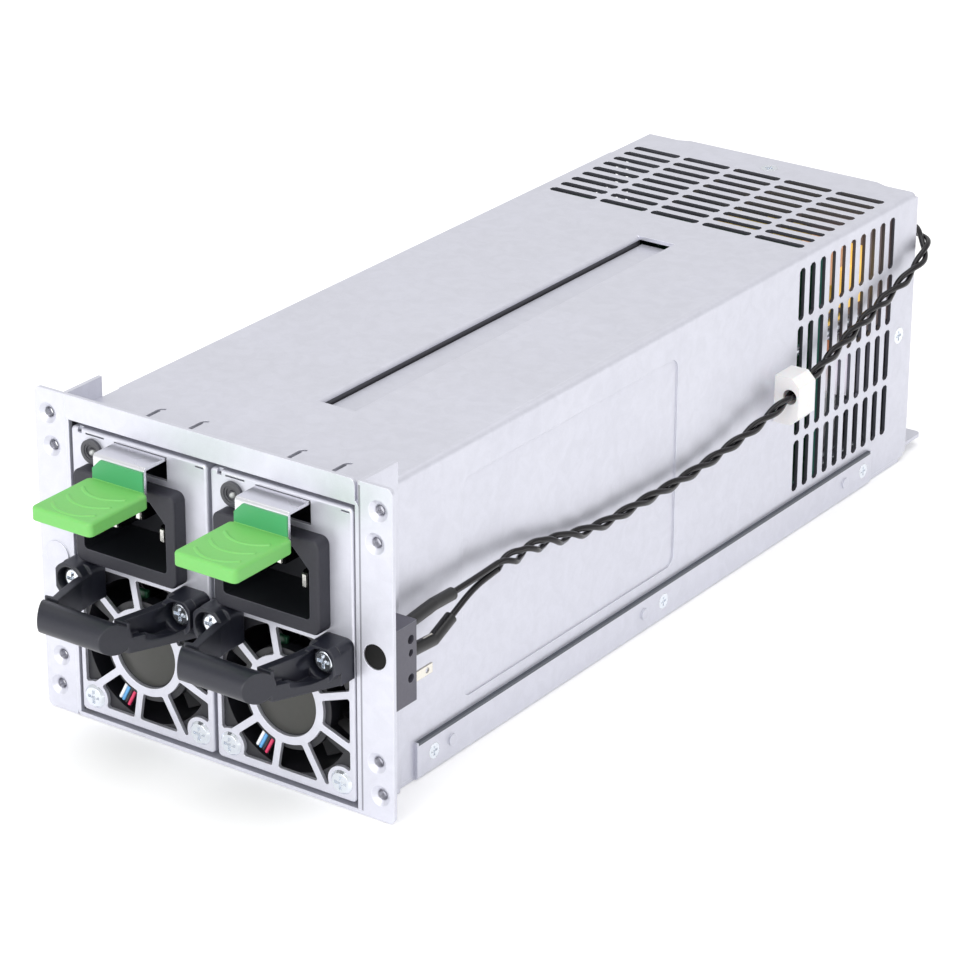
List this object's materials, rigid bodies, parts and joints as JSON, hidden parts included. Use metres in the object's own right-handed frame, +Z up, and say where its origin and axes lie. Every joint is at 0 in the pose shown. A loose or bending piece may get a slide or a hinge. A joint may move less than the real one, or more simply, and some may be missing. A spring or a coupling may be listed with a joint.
{
  "type": "redundant hot swap server power supply",
  "caption": "Sheet-steel cage with rack ears and side-by-side pull-out supplies, each with a mains inlet, guarded fan, pull handle and sprung release lever.",
  "frame": {"origin": "on the underside of the cage floor, midway between the rack ears, in the plane of their front faces", "axes": "+X to the right seen from the front, +Y from the front to the rear, +Z up"},
  "size_m": [0.1026, 0.2875, 0.0823],
  "materials": {
    "sheet_steel": "satin",
    "spring_steel": "satin",
    "bright_zinc": "bright",
    "plated_pin": "bright",
    "tinned_brass": "satin",
    "fin_aluminium": "satin",
    "charcoal_plastic": "matte",
    "satin_plastic": "satin",
    "black_plastic": "satin",
    "grey_plastic": "matte",
    "green_plastic": "satin",
    "white_nylon": "satin",
    "black_rubber": "matte",
    "wire_jacket": "gloss",
    "fan_wire": "gloss",
    "shrink_sleeve": "satin",
    "circuit_board": "satin",
    "yellow_tape": "satin",
    "can_sleeve": "gloss"
  },
  "bodies": {
    "cage": {"top_shell": "sheet_steel", "bottom_shell": "sheet_steel", "ear_left": "sheet_steel", "ear_right": "sheet_steel", "rear_panel": "sheet_steel", "outlet_lining": "black_plastic", "pair_grommet": "black_rubber", "lap_screws": "bright_zinc", "panel_screws": "bright_zinc", "backplane_board": "circuit_board", "converter_board": "circuit_board", "board_spacers": "bright_zinc", "unit_sockets": "black_plastic", "converter_coils": "yellow_tape", "converter_capacitors": "can_sleeve", "output_connector": "white_nylon", "converter_heat_sink": "fin_aluminium", "switch_body": "grey_plastic", "switch_terminals": "tinned_brass", "lead_sleeves": "shrink_sleeve", "switch_leads": "wire_jacket", "twisted_pair": "wire_jacket", "cable_clip": "white_nylon"},
    "button": {"reset_button": "black_plastic"},
    "unit_left": {"case_tray_left": "sheet_steel", "case_lid_left": "sheet_steel", "front_panel_left": "sheet_steel", "inlet_left": "charcoal_plastic", "inlet_pins_left": "plated_pin", "pull_handle_left": "satin_plastic", "handle_screws_left": "bright_zinc", "guard_screws_left": "bright_zinc", "status_lamp_left": "charcoal_plastic", "fan_frame_left": "black_plastic", "fan_leads_left": "fan_wire", "main_board_left": "circuit_board", "bulk_capacitors_left": "can_sleeve", "transformer_left": "yellow_tape", "heat_sink_left": "fin_aluminium"},
    "lever_left": {"release_lever_left": "spring_steel", "lever_pad_left": "green_plastic"},
    "rotor_left": {"fan_rotor_left": "black_plastic"},
    "unit_right": {"case_tray_right": "sheet_steel", "case_lid_right": "sheet_steel", "front_panel_right": "sheet_steel", "inlet_right": "charcoal_plastic", "inlet_pins_right": "plated_pin", "pull_handle_right": "satin_plastic", "handle_screws_right": "bright_zinc", "guard_screws_right": "bright_zinc", "status_lamp_right": "charcoal_plastic", "fan_frame_right": "black_plastic", "fan_leads_right": "fan_wire", "main_board_right": "circuit_board", "bulk_capacitors_right": "can_sleeve", "transformer_right": "yellow_tape", "heat_sink_right": "fin_aluminium"},
    "lever_right": {"release_lever_right": "spring_steel", "lever_pad_right": "green_plastic"},
    "rotor_right": {"fan_rotor_right": "black_plastic"}
  },
  "joints": [
    {"name": "reset_press", "type": "slide", "parent": "cage", "child": "button", "axis": [0, 1, 0], "range_m": [0, 0.001], "stiffness_N_per_m": 600, "springref_m": -0.001},
    {"name": "unit_slide_left", "type": "slide", "parent": "cage", "child": "unit_left", "axis": [0, -1, 0], "range_m": [0, 0.17]},
    {"name": "lever_flex_left", "type": "hinge", "parent": "unit_left", "child": "lever_left", "pos_m": [-0.0198, 0.036, 0.0735], "axis": [1, 0, 0], "range_deg": [0, 3.4], "stiffness_Nm_per_rad": 3, "springref_deg": -1.72},
    {"name": "fan_spin_left", "type": "hinge", "parent": "unit_left", "child": "rotor_left", "pos_m": [-0.0205, 0.015, 0.0224], "axis": [0, 1, 0], "continuous": true},
    {"name": "unit_slide_right", "type": "slide", "parent": "cage", "child": "unit_right", "axis": [0, -1, 0], "range_m": [0, 0.17]},
    {"name": "lever_flex_right", "type": "hinge", "parent": "unit_right", "child": "lever_right", "pos_m": [0.0212, 0.036, 0.0735], "axis": [1, 0, 0], "range_deg": [0, 3.4], "stiffness_Nm_per_rad": 3, "springref_deg": -1.72},
    {"name": "fan_spin_right", "type": "hinge", "parent": "unit_right", "child": "rotor_right", "pos_m": [0.0205, 0.015, 0.0224], "axis": [0, 1, 0], "continuous": true}
  ]
}
